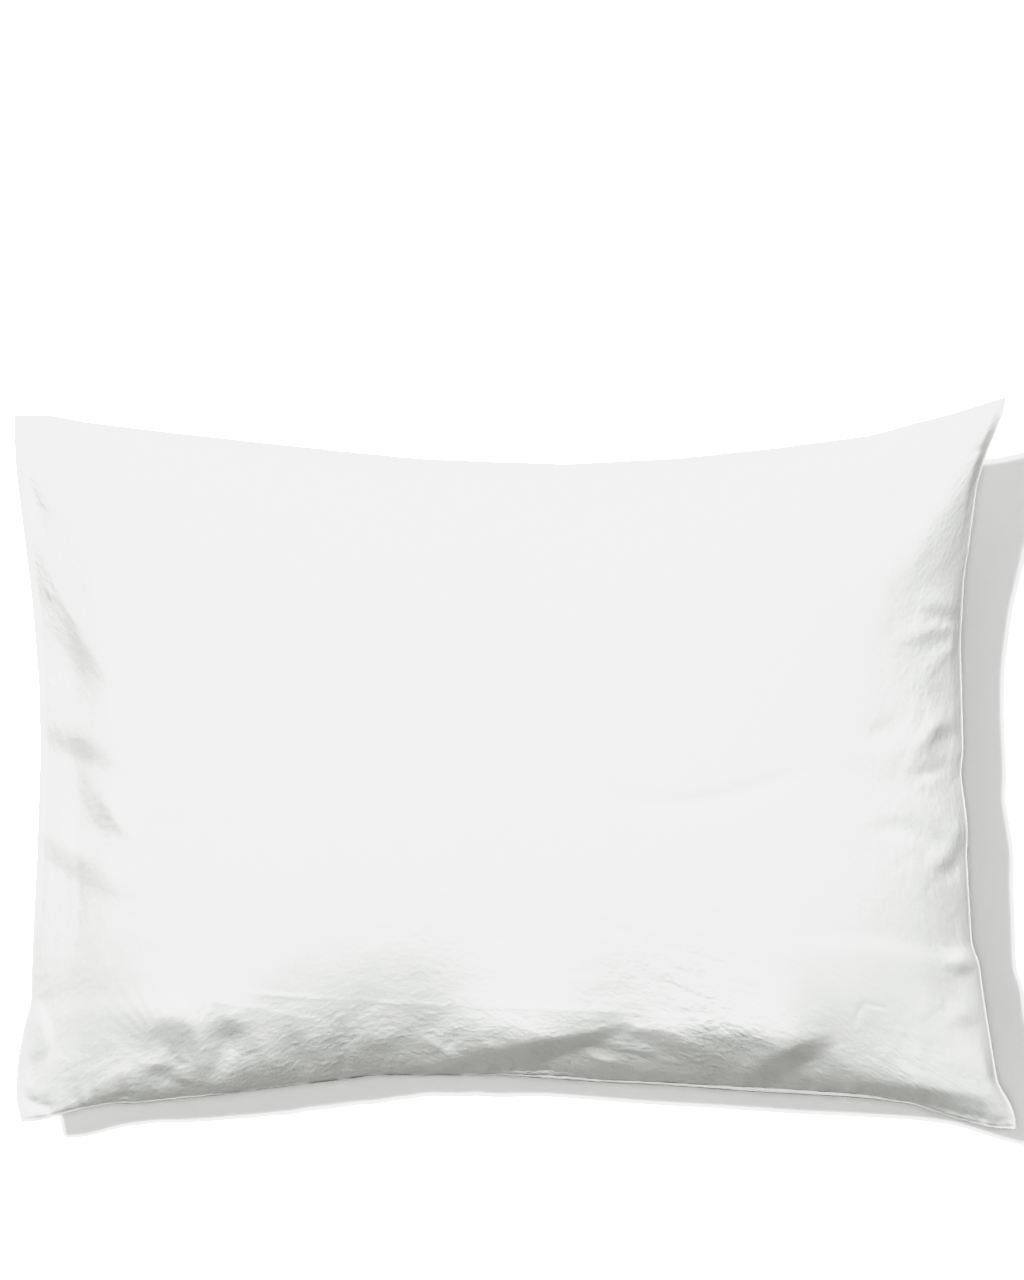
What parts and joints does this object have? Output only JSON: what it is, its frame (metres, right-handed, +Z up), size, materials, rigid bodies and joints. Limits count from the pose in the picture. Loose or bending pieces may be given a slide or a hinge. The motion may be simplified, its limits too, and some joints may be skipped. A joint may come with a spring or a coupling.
{
  "type": "pillowcase",
  "caption": "White cotton pillowcase filled with its pillow, lying on its back, with drawn-in sides, pointed corners, a narrow sewn edge and soft folds along its rolls.",
  "frame": {"origin": "on the surface the pillowcase lies on, under the middle of its bounding box", "axes": "+X along the long sides to the right, +Y along the short sides towards the head edge, +Z up out of the front panel"},
  "size_m": [0.7016, 0.512, 0.1456],
  "materials": {
    "cotton": "matte white washed cotton in a fine plain weave"
  },
  "bodies": {
    "root": {"pillowcase": "cotton"}
  },
  "joints": []
}
